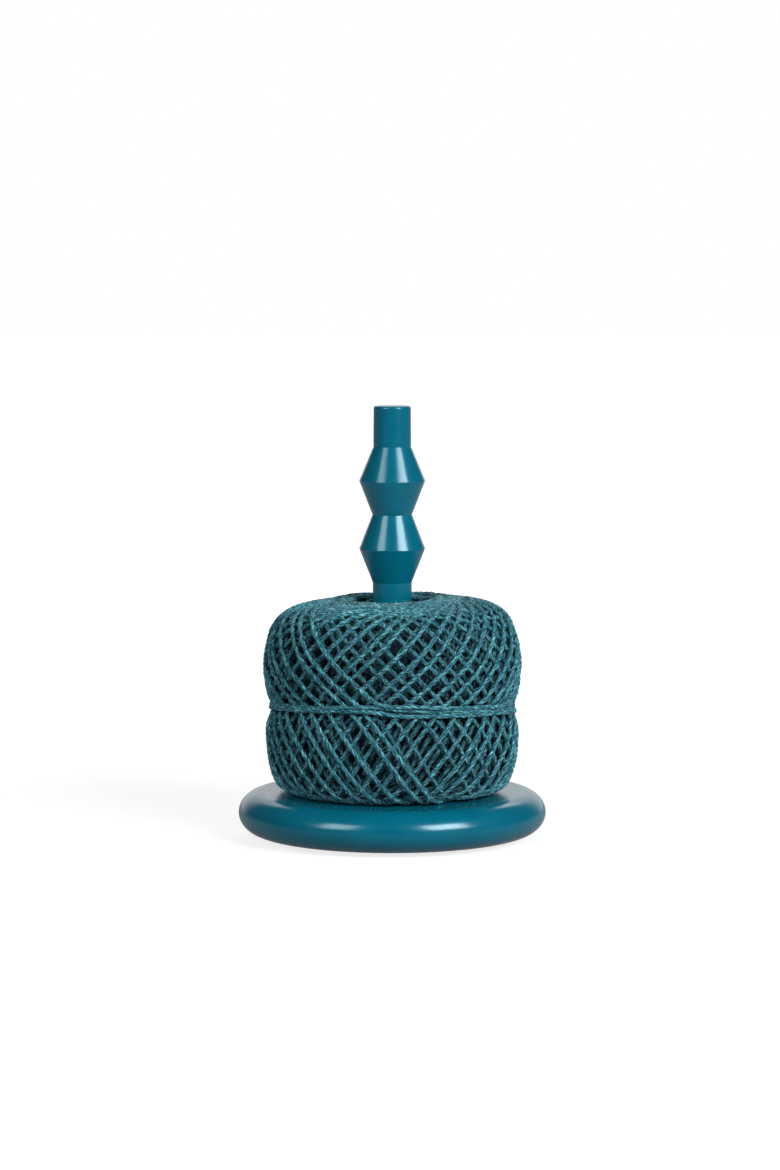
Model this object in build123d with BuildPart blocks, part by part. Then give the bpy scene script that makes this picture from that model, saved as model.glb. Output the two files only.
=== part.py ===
from itertools import product
from math import atan, ceil, cos, floor, pi, radians, sin, sqrt, tan
import os

from build123d import *

os.makedirs("parts", exist_ok=True)

# Yarn ball holder: a turned wooden disc with a turned spindle, and a cross-wound ball of
# twine that turns round the spindle on its paper core. Millimetres, +Z up, with the origin
# on the floor under the middle of the base.

# Felt pads
pad_radius = 7.0
pad_thickness = 1.5
pad_edge_round = 0.4
pad_count = 4
pad_circle_radius = 34.0
first_pad_angle = 45.0

# Base disc
base_radius = 60.0
base_thickness = 16.0
base_nose_depth = 9.0
socket_radius = 6.0
socket_depth = 9.0
socket_chamfer = 0.4
screw_hole_clearance = 0.2

# Spindle
lower_radius = 7.65
lower_height = 81.9
bead_radius = 12.85
neck_radius = 7.7
bead_step = 13.2
top_neck_radius = 7.3
top_radius = 7.2
top_height = 15.8
top_round = 0.9
ridge_round = 0.4
tenon_clearance = 0.05
tenon_gap = 0.5
tenon_chamfer = 0.8

# Fixing screw
screw_head_radius = 4.0
screw_head_recess = 0.8
screw_seat_clearance = 0.05
screw_shank_radius = 2.0
screw_root_radius = 1.35
screw_thread_depth = 0.6
screw_thread_base = 0.9
screw_thread_sink = 0.15
screw_pitch = 1.8
screw_thread_turns = 8
screw_point_length = 4.0
screw_neck_length = 1.0
driver_slot_width = 0.9
driver_slot_span = 4.4
driver_slot_depth = 1.4
pilot_clearance = 0.05
pilot_extra_depth = 2.0

# Paper core
core_clearance = 0.6
core_wall = 1.3
core_height = 69.5
seat_gap = 0.3

# Twine, and the ball's inner layers
twine_diameter = 2.1
running_gap = 0.3
layer_gap = 0.3
crest_radius = 19.8
crest_rise = 6.2
lip_drop = 2.4
dome_foot_drop = 1.9
foot_round = 2.0
end_seat_clearance = 0.3
end_seat_depth = 0.6

# Outer winding: every loop touches one ring at the top of the ball and one at its foot, and
# crosses the two bulges and the waist of the flank. Heights are taken from the base's top.
loop_count = 24
strand_clearance = 0.48
ring_radius = 37.2
top_ring_height = 69.6
top_ramp_extra = 0.7
foot_ring_height = 4.95
foot_ramp_extra = 1.2
ramp_half_length = 12.9
upper_bulge_radius = 47.65
upper_bulge_drop = 21.0
waist_radius = 42.8
waist_height = 32.4
lower_bulge_radius = 46.3
lower_bulge_height = 20.5
strand_slope = radians(45.5)
upper_bulge_lead = radians(21)
lower_bulge_lag = radians(19)
first_ring_angle = radians(176)
outer_top_share = 0.25
inner_top_share = 3.3
outer_foot_share = 1.0
inner_foot_share = 1.9
start_bend_radius = 2.3

# Waist wrap
band_clearance = 1.25
band_gap = 0.5
band_turns = 2.75
band_lead = radians(30)
end_bend_leg = 3.2

cut_overrun = 1.0
sample_step = 0.5

# Heights that follow from the sizes above
base_bottom = pad_thickness
base_top = base_bottom + base_thickness
flat_radius = base_radius - base_nose_depth
tenon_radius = socket_radius - tenon_clearance
tenon_bottom = base_top - socket_depth + tenon_gap
lower_ridge_height = base_top + lower_height + bead_step
neck_height = lower_ridge_height + bead_step
upper_ridge_height = neck_height + bead_step
top_neck_height = upper_ridge_height + bead_step
spindle_top = top_neck_height + top_height
core_bore = bead_radius + core_clearance
core_radius = core_bore + core_wall
winding_foot = base_top + seat_gap
twine_radius = twine_diameter / 2
shell_offset = twine_radius + strand_clearance
skin_depth = shell_offset + twine_radius + layer_gap
crest_height = top_ring_height + crest_rise
upper_bulge_height = top_ring_height - upper_bulge_drop

# Base disc: a full round edge, a socket for the spindle's tenon and, from below, a
# countersunk hole for the screw
with BuildPart() as base_disc:
    with BuildSketch(Plane.XZ):
        with BuildLine():
            nose = EllipticalCenterArc(
                (flat_radius, base_bottom + base_thickness / 2),
                base_nose_depth,
                base_thickness / 2,
                start_angle=-90,
                arc_size=180,
            )
            Polyline(nose @ 1, (0, base_top), (0, base_bottom), nose @ 0)
        make_face()
    revolve(axis=Axis.Z)
    with Locations((0, 0, base_top)):
        Hole(socket_radius, socket_depth)
    with Locations(Plane(origin=(0, 0, base_bottom), z_dir=(0, 0, -1))):
        CounterSinkHole(
            screw_shank_radius + screw_hole_clearance,
            screw_head_radius + screw_head_recess,
            counter_sink_angle=90,
        )
    top_circles = base_disc.edges().filter_by(GeomType.CIRCLE).group_by(Axis.Z)[-1]
    chamfer(top_circles.sort_by(SortBy.RADIUS)[0], socket_chamfer)
base_disc.part.label = "base_disc"
export_step(base_disc.part, "parts/base_disc.step")

# Spindle: tenon, plain lower cylinder, two ridged beads and a plain top, with a pilot hole
# for the screw up its foot
screw_head_bottom = base_bottom + screw_head_recess - screw_seat_clearance
screw_head_top = screw_head_bottom + screw_head_radius - screw_shank_radius
screw_thread_start = tenon_bottom + screw_neck_length
screw_thread_end = screw_thread_start + screw_pitch * screw_thread_turns
screw_tip = screw_thread_end + screw_point_length

with BuildPart() as spindle:
    with BuildSketch(Plane.XZ) as spindle_half:
        with BuildLine():
            Polyline(
                (0, tenon_bottom),
                (tenon_radius - tenon_chamfer, tenon_bottom),
                (tenon_radius, tenon_bottom + tenon_chamfer),
                (tenon_radius, base_top),
                (lower_radius, base_top),
                (lower_radius, base_top + lower_height),
                (bead_radius, lower_ridge_height),
                (neck_radius, neck_height),
                (bead_radius, upper_ridge_height),
                (top_neck_radius, top_neck_height),
                (top_radius, spindle_top),
                (0, spindle_top),
                close=True,
            )
        make_face()
        fillet(spindle_half.vertices().sort_by(Axis.X)[-2:], ridge_round)
        fillet(spindle_half.vertices().group_by(Axis.Y)[-1].sort_by(Axis.X)[-1], top_round)
    revolve(axis=Axis.Z)
    with Locations(Plane(origin=(0, 0, tenon_bottom), z_dir=(0, 0, -1))):
        Hole(screw_root_radius + pilot_clearance, screw_tip + pilot_extra_depth - tenon_bottom)
        Hole(screw_shank_radius + screw_hole_clearance, screw_neck_length)
spindle.part.label = "spindle"
export_step(spindle.part, "parts/spindle.step")

# Fixing screw: countersunk head with a cross slot, shank, pointed core and wound thread
with BuildPart() as fixing_screw:
    with BuildSketch(Plane.XZ):
        Polygon(
            (0, screw_head_bottom),
            (screw_head_radius, screw_head_bottom),
            (screw_shank_radius, screw_head_top),
            (screw_shank_radius, screw_thread_start - screw_neck_length / 2),
            (screw_root_radius, screw_thread_start),
            (screw_root_radius, screw_thread_end),
            (0, screw_tip),
            align=None,
        )
    revolve(axis=Axis.Z)
    with BuildSketch(Plane.XY.offset(screw_head_bottom)):
        Rectangle(driver_slot_span, driver_slot_width)
        Rectangle(driver_slot_width, driver_slot_span)
    extrude(amount=driver_slot_depth, mode=Mode.SUBTRACT)
    thread_root = screw_root_radius - screw_thread_sink
    thread_foot = screw_thread_start + screw_pitch / 2
    with BuildLine():
        Helix(
            screw_pitch,
            screw_pitch * (screw_thread_turns - 1),
            thread_root,
            center=(0, 0, thread_foot),
        )
    with BuildSketch(Plane(origin=(thread_root, 0, thread_foot), z_dir=(0, 1, 0))):
        Polygon(
            (0, -screw_thread_base / 2),
            (0, screw_thread_base / 2),
            (screw_thread_sink + screw_thread_depth, 0),
            align=None,
        )
    sweep(is_frenet=True)
fixing_screw.part.label = "fixing_screw"
export_step(fixing_screw.part, "parts/fixing_screw.step")

# Felt pads
for pad_number, pad_place in enumerate(
    PolarLocations(pad_circle_radius, pad_count, start_angle=first_pad_angle), start=1
):
    with BuildPart() as felt_pad:
        with BuildSketch(Plane(pad_place)):
            Circle(pad_radius)
        extrude(amount=pad_thickness)
        fillet(felt_pad.edges().group_by(Axis.Z)[0], pad_edge_round)
    felt_pad.part.label = f"felt_pad_{pad_number}"
    export_step(felt_pad.part, f"parts/felt_pad_{pad_number}.step")

# Paper core: a plain tube that clears the spindle's beads
with BuildPart() as paper_core:
    with BuildSketch(Plane.XY.offset(winding_foot)):
        Circle(core_radius)
        Circle(core_bore, mode=Mode.SUBTRACT)
    extrude(amount=core_height)
paper_core.part.label = "paper_core"
export_step(paper_core.part, "parts/paper_core.step")


def outward(angle):
    """The level direction away from the spindle at this angle."""
    return Vector(cos(angle), sin(angle), 0)


def around(angle):
    """The level direction round the spindle at this angle."""
    return Vector(-sin(angle), cos(angle), 0)


def up(height):
    """A rise of this height."""
    return Vector(0, 0, height)


def biarc_joint(start, start_heading, end, end_heading, share):
    """Where two tangent arcs from start to end meet, and the heading there. The share is
    the length of the first arc's tangent legs over that of the second's."""
    chord = end - start
    legs = end_heading + start_heading * share
    along = chord.dot(legs)
    spread = legs.dot(legs) - (share + 1) ** 2
    second_leg = chord.dot(chord) / (along + sqrt(along**2 - spread * chord.dot(chord)))
    first_leg = second_leg * share
    first_corner = start + start_heading * first_leg
    second_corner = end - end_heading * second_leg
    heading = (second_corner - first_corner).normalized()
    return first_corner + heading * first_leg, heading


def draw_biarc(start, start_heading, end, end_heading, share=1.0):
    """Draw two tangent arcs from start to end."""
    joint, heading = biarc_joint(start, start_heading, end, end_heading, share)
    TangentArc(start, joint, tangent=start_heading)
    TangentArc(joint, end, tangent=heading)


def flank_node(radius, angle, height, slope):
    """A place on the ball's flank, and the twine's heading there."""
    place = outward(angle) * radius + up(base_top + height)
    return place, around(angle) * cos(slope) + up(sin(slope))


def ring_node(angle, along, height):
    """A place on the level line that touches the ring at this angle, and its heading."""
    place = outward(angle) * ring_radius + around(angle) * along + up(base_top + height)
    return place, around(angle)


top_ramp_rise = twine_diameter + top_ramp_extra
foot_ramp_rise = twine_diameter + foot_ramp_extra
top_ramp_foot = top_ring_height - top_ramp_rise
top_ramp_head = top_ring_height + top_ramp_rise
foot_ramp_foot = foot_ring_height - foot_ramp_rise
foot_ramp_head = foot_ring_height + foot_ramp_rise
quarter_turn = pi / 2 + pi / 2 / loop_count


def rising_nodes(foot_angle):
    """The inner half of a loop, from the ring at the ball's foot up to the top ring."""
    mid = foot_angle + quarter_turn
    low, lag = lower_bulge_radius - shell_offset, mid - lower_bulge_lag
    high, lead = upper_bulge_radius - shell_offset, mid + upper_bulge_lead
    return [
        (*flank_node(low, lag, lower_bulge_height, strand_slope), inner_foot_share),
        (*flank_node(waist_radius - shell_offset, mid, waist_height, strand_slope), 1.0),
        (*flank_node(high, lead, upper_bulge_height, strand_slope), 1.0),
        (*ring_node(mid + quarter_turn, -ramp_half_length, top_ramp_foot), inner_top_share),
    ]


def falling_nodes(top_angle):
    """The outer half of a loop, from the top ring down to the ring at the ball's foot."""
    mid = top_angle + quarter_turn
    high, lead = upper_bulge_radius + shell_offset, mid - upper_bulge_lead
    low, lag = lower_bulge_radius + shell_offset, mid + lower_bulge_lag
    return [
        (*ring_node(top_angle, ramp_half_length, top_ramp_head), 1.0),
        (*flank_node(high, lead, upper_bulge_height, -strand_slope), outer_top_share),
        (*flank_node(waist_radius + shell_offset, mid, waist_height, -strand_slope), 1.0),
        (*flank_node(low, lag, lower_bulge_height, -strand_slope), 1.0),
        (*ring_node(mid + quarter_turn, -ramp_half_length, foot_ramp_foot), outer_foot_share),
        (*ring_node(mid + quarter_turn, ramp_half_length, foot_ramp_head), 1.0),
    ]


# The twine leaves the inner layers through a seat above the foot ring, makes its loops and
# comes down to the band, where it ends face to face with the waist wrap
start_angle = first_ring_angle - 2 * quarter_turn
loop_start, loop_start_heading = ring_node(start_angle, ramp_half_length, foot_ramp_head)
stub_bottom = loop_start - loop_start_heading * start_bend_radius + up(start_bend_radius)
stub_top = stub_bottom + up(twine_diameter)

route_nodes = [(loop_start, loop_start_heading, 1.0)]
for loop in range(loop_count):
    top_angle = first_ring_angle + 4 * quarter_turn * loop
    route_nodes += rising_nodes(top_angle - 2 * quarter_turn)
    route_nodes += falling_nodes(top_angle)
route_nodes = route_nodes[:-4]

last_ring_angle = first_ring_angle + 4 * quarter_turn * (loop_count - 1)
last_bulge_angle = last_ring_angle + quarter_turn - upper_bulge_lead
band_radius = waist_radius + shell_offset + twine_diameter + band_clearance
band_pitch = twine_diameter + band_gap
mesh_height = waist_radius * tan(strand_slope) * pi / 2 / loop_count
band_top_height = waist_height + band_pitch * band_turns - mesh_height
band_start, band_heading = flank_node(band_radius, last_bulge_angle + band_lead, band_top_height, 0)
route_nodes.append((band_start, band_heading, 1.0))
winding_end = band_start + band_heading * twine_diameter

with BuildPart() as twine_outer_winding:
    with BuildLine() as winding_route:
        Line(stub_top, stub_bottom)
        TangentArc(stub_bottom, loop_start, tangent=up(-1))
        for (start, heading, _), (end, end_heading, share) in zip(route_nodes, route_nodes[1:]):
            draw_biarc(start, heading, end, end_heading, share)
        Line(band_start, winding_end)
    with BuildSketch(Plane(origin=stub_top, z_dir=up(-1))):
        Circle(twine_radius)
    sweep()
twine_outer_winding.part.label = "twine_outer_winding"
export_step(twine_outer_winding.part, "parts/twine_outer_winding.step")

# Waist wrap: turns side by side round the waist, then a bend inwards to a seat on the inner
# layers
wrap_start = winding_end + band_heading * twine_diameter
wrap_start_angle = last_bulge_angle + band_lead + atan(2 * twine_diameter / band_radius)
wrap_slope = -atan(band_pitch / (2 * pi * band_radius))
wrap_quarters = round(4 * band_turns)
loop_step = 2 * pi / loop_count
loops_to_seat = round((wrap_start_angle + 2 * pi * band_turns - first_ring_angle) / loop_step)
seat_angle = first_ring_angle + loops_to_seat * loop_step
wrap_end_angle = seat_angle - atan(end_bend_leg / band_radius)
wrap_end_height = band_top_height - band_pitch * band_turns
wrap_end, wrap_end_heading = flank_node(band_radius, wrap_end_angle, wrap_end_height, 0)
wrap_nodes = [(wrap_start, band_heading)]
for quarter in range(1, wrap_quarters):
    wrap_nodes.append(flank_node(
        band_radius,
        wrap_start_angle + (wrap_end_angle - wrap_start_angle) * quarter / wrap_quarters,
        band_top_height - band_pitch * band_turns * quarter / wrap_quarters,
        wrap_slope,
    ))
wrap_nodes.append((wrap_end, wrap_end_heading))
bend_corner = wrap_end + wrap_end_heading * end_bend_leg
bend_end = bend_corner - outward(seat_angle) * end_bend_leg
seat_floor = waist_radius - skin_depth - end_seat_depth
wrap_seat = outward(seat_angle) * seat_floor + up(base_top + wrap_end_height)

with BuildPart() as twine_waist_wrap:
    with BuildLine() as wrap_route:
        Line(winding_end, wrap_start)
        for (start, heading), (end, end_heading) in zip(wrap_nodes, wrap_nodes[1:]):
            draw_biarc(start, heading, end, end_heading)
        TangentArc(wrap_end, bend_end, tangent=wrap_end_heading)
        Line(bend_end, wrap_seat)
    with BuildSketch(Plane(origin=winding_end, z_dir=band_heading)):
        Circle(twine_radius)
    sweep()
twine_waist_wrap.part.label = "twine_waist_wrap"
export_step(twine_waist_wrap.part, "parts/twine_waist_wrap.step")

# Inner layers of the twine: a solid of revolution round the paper core, a layer's gap inside
# the outer winding, with a crest round the hole and a drawn-in waist
plug_radius = ring_radius - twine_radius - layer_gap
core_skin_radius = core_radius + running_gap
foot_shoulder = base_top + foot_ramp_head + twine_radius + layer_gap
top_shoulder = base_top + top_ramp_foot - twine_radius - layer_gap
crest = Vector(crest_radius, base_top + crest_height)
dome_foot = Vector(plug_radius, base_top + crest_height - dome_foot_drop)
lower_bulge = Vector(lower_bulge_radius - skin_depth, base_top + lower_bulge_height)
waist = Vector(waist_radius - skin_depth, base_top + waist_height)
upper_bulge = Vector(upper_bulge_radius - skin_depth, base_top + upper_bulge_height)
rightwards = Vector(1, 0)
leftwards = Vector(-1, 0)
upwards = Vector(0, 1)

with BuildPart() as twine_inner_winding:
    with BuildSketch(Plane.XZ) as inner_half:
        with BuildLine():
            Polyline(
                (core_skin_radius, crest.Y - lip_drop),
                (core_skin_radius, winding_foot),
                (plug_radius, winding_foot),
                (plug_radius, foot_shoulder),
            )
            draw_biarc(Vector(plug_radius, foot_shoulder), rightwards, lower_bulge, upwards)
            draw_biarc(lower_bulge, upwards, waist, upwards)
            draw_biarc(waist, upwards, upper_bulge, upwards)
            draw_biarc(upper_bulge, upwards, Vector(plug_radius, top_shoulder), leftwards)
            Line((plug_radius, top_shoulder), dome_foot)
            TangentArc(crest, dome_foot, tangent=rightwards)
            TangentArc(crest, (core_skin_radius, crest.Y - lip_drop), tangent=leftwards)
        make_face()
        fillet(inner_half.vertices().group_by(Axis.Y)[0].sort_by(Axis.X)[-1], foot_round)
    revolve(axis=Axis.Z)
    # the seat that the outer winding starts from
    with BuildSketch(Plane(origin=stub_top, x_dir=loop_start_heading, z_dir=up(-1))):
        with Locations((start_bend_radius / 2, 0)):
            SlotOverall(
                start_bend_radius + twine_diameter + 2 * end_seat_clearance,
                twine_diameter + 2 * end_seat_clearance,
            )
    extrude(amount=stub_top.Z - foot_shoulder + cut_overrun, mode=Mode.SUBTRACT)
    # the seat that the waist wrap ends in
    with BuildSketch(Plane(origin=wrap_seat, z_dir=outward(seat_angle))):
        Circle(twine_radius + end_seat_clearance)
    extrude(amount=end_seat_depth + cut_overrun, mode=Mode.SUBTRACT)
twine_inner_winding.part.label = "twine_inner_winding"
export_step(twine_inner_winding.part, "parts/twine_inner_winding.step")


def route_points(route):
    """Points along a route, about one sample step apart."""
    points = []
    for edge in route.edges():
        count = max(1, ceil(edge.length / sample_step))
        points += [edge @ (index / count) for index in range(count)]
    return points


def least_gap(points, others, skip):
    """The least distance between two sets of points, less the twine's diameter. In one set,
    points nearer along the twine than skip are left out."""
    cell = 2 * twine_diameter
    grid = {}
    for index, point in enumerate(others):
        key = (floor(point.X / cell), floor(point.Y / cell), floor(point.Z / cell))
        grid.setdefault(key, []).append((index, point))
    least = cell
    steps = (-1, 0, 1)
    for index, point in enumerate(points):
        column, row, layer = floor(point.X / cell), floor(point.Y / cell), floor(point.Z / cell)
        for i, j, k in product(steps, steps, steps):
            for other_index, other in grid.get((column + i, row + j, layer + k), ()):
                if abs(index - other_index) * sample_step > skip:
                    least = min(least, (point - other).length)
    return least - twine_diameter


winding_points = route_points(winding_route)
wrap_points = route_points(wrap_route)
own_skip = 5 * twine_diameter
joint_skip = round(own_skip / sample_step)
print("outer winding: gap to itself", round(least_gap(winding_points, winding_points, own_skip), 2))
print("waist wrap: gap to itself", round(least_gap(wrap_points, wrap_points, own_skip), 2))
print("waist wrap to outer winding: gap",
      round(least_gap(wrap_points[joint_skip:], winding_points[:-joint_skip], -1), 2))
for name, built, route in (
    ("outer winding", twine_outer_winding, winding_route),
    ("waist wrap", twine_waist_wrap, wrap_route),
):
    length = sum(edge.length for edge in route.edges())
    section = pi * twine_radius**2
    tightest = min(edge.radius for edge in route.edges().filter_by(GeomType.CIRCLE))
    print(name, "length", round(length), "tightest bend", round(tightest, 2))
    print(name, "volume over section times length", round(built.part.volume / (section * length), 4))
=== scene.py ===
from math import cos, pi, radians, sin

import bpy
import numpy as np
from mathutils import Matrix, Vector


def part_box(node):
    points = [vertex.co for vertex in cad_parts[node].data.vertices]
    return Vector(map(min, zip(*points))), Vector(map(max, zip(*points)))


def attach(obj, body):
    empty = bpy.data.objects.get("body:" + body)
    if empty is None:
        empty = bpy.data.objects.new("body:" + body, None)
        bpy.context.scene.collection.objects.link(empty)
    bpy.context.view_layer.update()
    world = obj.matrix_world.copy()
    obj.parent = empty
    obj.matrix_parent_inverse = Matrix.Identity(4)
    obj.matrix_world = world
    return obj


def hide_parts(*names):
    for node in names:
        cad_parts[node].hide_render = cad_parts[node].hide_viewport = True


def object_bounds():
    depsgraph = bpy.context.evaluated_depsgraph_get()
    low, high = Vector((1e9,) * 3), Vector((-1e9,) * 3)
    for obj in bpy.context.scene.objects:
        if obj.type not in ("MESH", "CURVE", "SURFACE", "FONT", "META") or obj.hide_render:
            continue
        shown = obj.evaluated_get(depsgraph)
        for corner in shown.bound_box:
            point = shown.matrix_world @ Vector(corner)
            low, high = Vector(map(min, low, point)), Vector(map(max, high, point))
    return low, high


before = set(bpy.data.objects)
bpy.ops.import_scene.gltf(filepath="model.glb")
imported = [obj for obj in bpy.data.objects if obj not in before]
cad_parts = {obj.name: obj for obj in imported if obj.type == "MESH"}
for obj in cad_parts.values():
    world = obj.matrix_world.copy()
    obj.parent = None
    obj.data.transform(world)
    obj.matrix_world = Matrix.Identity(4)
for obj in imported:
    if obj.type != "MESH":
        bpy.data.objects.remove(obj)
cad_low, cad_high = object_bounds()

# Yarn ball holder: a lacquered base and spindle, and a ball of dyed three-ply jute twine.
# Metres, +Z up; the photograph looks along +Y.

MM = 0.001

# Places taken from the frame
ball_margin = 0.3 * MM
foot_gap = 0.12 * MM
base_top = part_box("base_disc")[1].z
core_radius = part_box("paper_core")[1].x
ball_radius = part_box("twine_outer_winding")[1].x + ball_margin
ball_foot = base_top + foot_gap
ball_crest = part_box("twine_inner_winding")[1].z
ball_height = ball_crest - ball_foot
waist_height = (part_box("twine_waist_wrap")[0].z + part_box("twine_waist_wrap")[1].z) / 2


# Camera
focal_pixels = 3828.5
image_height = 1170
sensor_side = 36.0
camera_distance = 1481.6 * MM
camera_height = 243.8 * MM
camera_pitch = radians(5.61)
object_offset_pixels = 2.2
near_clip = 0.05
far_clip = 50.0

camera_data = bpy.data.cameras.new("photo_camera")
camera_data.sensor_width = sensor_side
camera_data.lens = focal_pixels / image_height * sensor_side
camera_data.shift_x = -object_offset_pixels / image_height
camera_data.clip_start = near_clip
camera_data.clip_end = far_clip
camera = bpy.data.objects.new("photo_camera", camera_data)
camera.location = (0, -camera_distance, camera_height)
camera.rotation_euler = (pi / 2 - camera_pitch, 0, 0)
bpy.context.scene.collection.objects.link(camera)
bpy.context.scene.camera = camera
bpy.context.scene.view_settings.view_transform = "Standard"


# Shader helpers
def new_material(name):
    """A new node material, its node tree and its output."""
    material = bpy.data.materials.new(name)
    material.use_nodes = True
    tree = material.node_tree
    tree.nodes.clear()
    output = tree.nodes.new("ShaderNodeOutputMaterial")
    return material, tree, output


def add(tree, kind, **values):
    """A node of this kind, with its properties and input values set by name."""
    node = tree.nodes.new("ShaderNode" + kind)
    for name, value in values.items():
        if hasattr(node, name):
            setattr(node, name, value)
        else:
            node.inputs[name.replace("_", " ")].default_value = value
    return node


def link(tree, source, target):
    """Lead this output to that input."""
    tree.links.new(source, target)


def ramp(tree, factor, stops):
    """A colour ramp through stops of (position, grey or colour)."""
    node = tree.nodes.new("ShaderNodeValToRGB")
    link(tree, factor, node.inputs[0])
    while len(node.color_ramp.elements) < len(stops):
        node.color_ramp.elements.new(1.0)
    for element, (position, colour) in zip(node.color_ramp.elements, stops):
        element.position = position
        element.color = colour if isinstance(colour, tuple) else (colour,) * 3 + (1,)
    return node.outputs[0]


def math(tree, operation, first, second=0.0):
    """What this operation makes of two values, each a socket or a number."""
    node = add(tree, "Math", operation=operation)
    for socket, value in zip(node.inputs, (first, second)):
        if isinstance(value, (int, float)):
            socket.default_value = value
        else:
            link(tree, value, socket)
    return node.outputs[0]


def mix(tree, factor, first, second, blend="MIX"):
    """Two colours mixed, each a socket or a colour."""
    node = add(tree, "Mix", data_type="RGBA", blend_type=blend)
    for number, value in zip((0, 6, 7), (factor, first, second)):
        if isinstance(value, (int, float, tuple)):
            node.inputs[number].default_value = value
        else:
            link(tree, value, node.inputs[number])
    return node.outputs[2]


def new_group(name, inputs, outputs):
    """A node group with these sockets, and its input and output nodes."""
    group = bpy.data.node_groups.new(name, "ShaderNodeTree")
    for in_out, sockets in (("INPUT", inputs), ("OUTPUT", outputs)):
        for socket_name, kind in sockets:
            socket_type = "NodeSocket" + kind
            group.interface.new_socket(name=socket_name, in_out=in_out, socket_type=socket_type)
    return group, group.nodes.new("NodeGroupInput"), group.nodes.new("NodeGroupOutput")


def use_group(tree, group, vector, **values):
    """A node that holds this group, fed by the vector, with its other inputs set by name."""
    node = tree.nodes.new("ShaderNodeGroup")
    node.node_tree = group
    link(tree, vector, node.inputs["Vector"])
    for name, value in values.items():
        node.inputs[name].default_value = value
    return node


def srgb(red, green, blue):
    """A colour written in 0 to 255 steps, in scene values."""
    steps = (red / 255, green / 255, blue / 255)
    return tuple(s / 12.92 if s < 0.04045 else ((s + 0.055) / 1.055) ** 2.4 for s in steps) + (1,)


# Effects that several materials share
mottle, entry, leave = new_group(
    "mottled_colour",
    [("Vector", "Vector"), ("Scale", "Float"), ("Dark", "Color"), ("Light", "Color")],
    [("Colour", "Color"), ("Value", "Float")],
)
patches = add(mottle, "TexNoise", Detail=5.0, Roughness=0.6)
link(mottle, entry.outputs["Vector"], patches.inputs["Vector"])
link(mottle, entry.outputs["Scale"], patches.inputs["Scale"])
patch_value = ramp(mottle, patches.outputs[0], [(0.32, 0.0), (0.68, 1.0)])
patch_colour = mix(mottle, patch_value, entry.outputs["Dark"], entry.outputs["Light"])
link(mottle, patch_colour, leave.inputs["Colour"])
link(mottle, patch_value, leave.inputs["Value"])

grain, entry, leave = new_group(
    "grain_relief",
    [("Vector", "Vector"), ("Scale", "Float"), ("Strength", "Float"), ("Depth", "Float")],
    [("Normal", "Vector")],
)
bumps = add(grain, "TexNoise", Detail=4.0, Roughness=0.65)
relief = add(grain, "Bump")
link(grain, entry.outputs["Vector"], bumps.inputs["Vector"])
link(grain, entry.outputs["Scale"], bumps.inputs["Scale"])
link(grain, bumps.outputs[0], relief.inputs["Height"])
link(grain, entry.outputs["Strength"], relief.inputs["Strength"])
link(grain, entry.outputs["Depth"], relief.inputs["Distance"])
link(grain, relief.outputs[0], leave.inputs["Normal"])


# Floor and backdrop
floor_reach = 6.0
floor_front = -0.57
floor_white = 0.30
near_glow = 0.79
far_glow = 1.0
near_reach = 0.20
far_reach = 0.62
gloss_share = 0.2
world_light_low = 0.29
world_light_top = 0.05
room_glow = 0.05
backdrop_edge = 0.74
backdrop_full = 0.92


def background_rays(tree, gloss):
    """1 for rays that the camera or a glass sends out, this much for those of a gloss, and 0
    for the rest."""
    path = add(tree, "LightPath")
    in_gloss = math(tree, "MULTIPLY", path.outputs["Is Glossy Ray"], gloss)
    seen = math(tree, "MAXIMUM", path.outputs["Is Camera Ray"], in_gloss)
    return math(tree, "MAXIMUM", seen, path.outputs["Is Transmission Ray"])


white, tree, output = new_material("studio_white")
paper = add(tree, "BsdfDiffuse", Color=(floor_white, floor_white, floor_white, 1))
glow = add(tree, "Emission", Color=(1, 1, 1, 1))
place = add(tree, "NewGeometry")
distance = add(tree, "VectorMath", operation="LENGTH")
link(tree, place.outputs["Position"], distance.inputs[0])
spread = add(tree, "MapRange", From_Min=near_reach, From_Max=far_reach, To_Min=near_glow, To_Max=far_glow)
link(tree, distance.outputs["Value"], spread.inputs["Value"])
strength = math(tree, "MULTIPLY", background_rays(tree, gloss_share), spread.outputs["Result"])
link(tree, strength, glow.inputs["Strength"])
total = add(tree, "AddShader")
link(tree, paper.outputs[0], total.inputs[0])
link(tree, glow.outputs[0], total.inputs[1])
link(tree, total.outputs[0], output.inputs[0])

floor_mesh = bpy.data.meshes.new("studio_floor")
corners = [(-floor_reach, floor_front, 0), (floor_reach, floor_front, 0),
           (floor_reach, floor_reach, 0), (-floor_reach, floor_reach, 0)]
floor_mesh.from_pydata(corners, [], [(0, 1, 2, 3)])
floor_mesh.materials.append(white)
floor = bpy.data.objects.new("studio_floor", floor_mesh)
bpy.context.scene.collection.objects.link(floor)

world = bpy.data.worlds.new("studio")
world.use_nodes = True
bpy.context.scene.world = world
sky = world.node_tree
sky.nodes.clear()
sky_output = sky.nodes.new("ShaderNodeOutputWorld")
sky_light = add(sky, "Background", Color=(1, 1, 1, 1))
sky_white = add(sky, "Background", Color=(1, 1, 1, 1))
sky_direction = add(sky, "TexCoord")
sky_parts = add(sky, "SeparateXYZ")
link(sky, sky_direction.outputs["Generated"], sky_parts.inputs[0])
backdrop = add(sky, "MapRange", interpolation_type="SMOOTHSTEP",
               From_Min=backdrop_edge, From_Max=backdrop_full, To_Min=room_glow, To_Max=1.0)
link(sky, sky_parts.outputs["Y"], backdrop.inputs["Value"])
fall_off = add(sky, "MapRange", From_Min=0.0, From_Max=1.0, To_Min=world_light_low, To_Max=world_light_top)
link(sky, sky_parts.outputs["Z"], fall_off.inputs["Value"])
link(sky, fall_off.outputs["Result"], sky_light.inputs["Strength"])
sky_path = add(sky, "LightPath")
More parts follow.
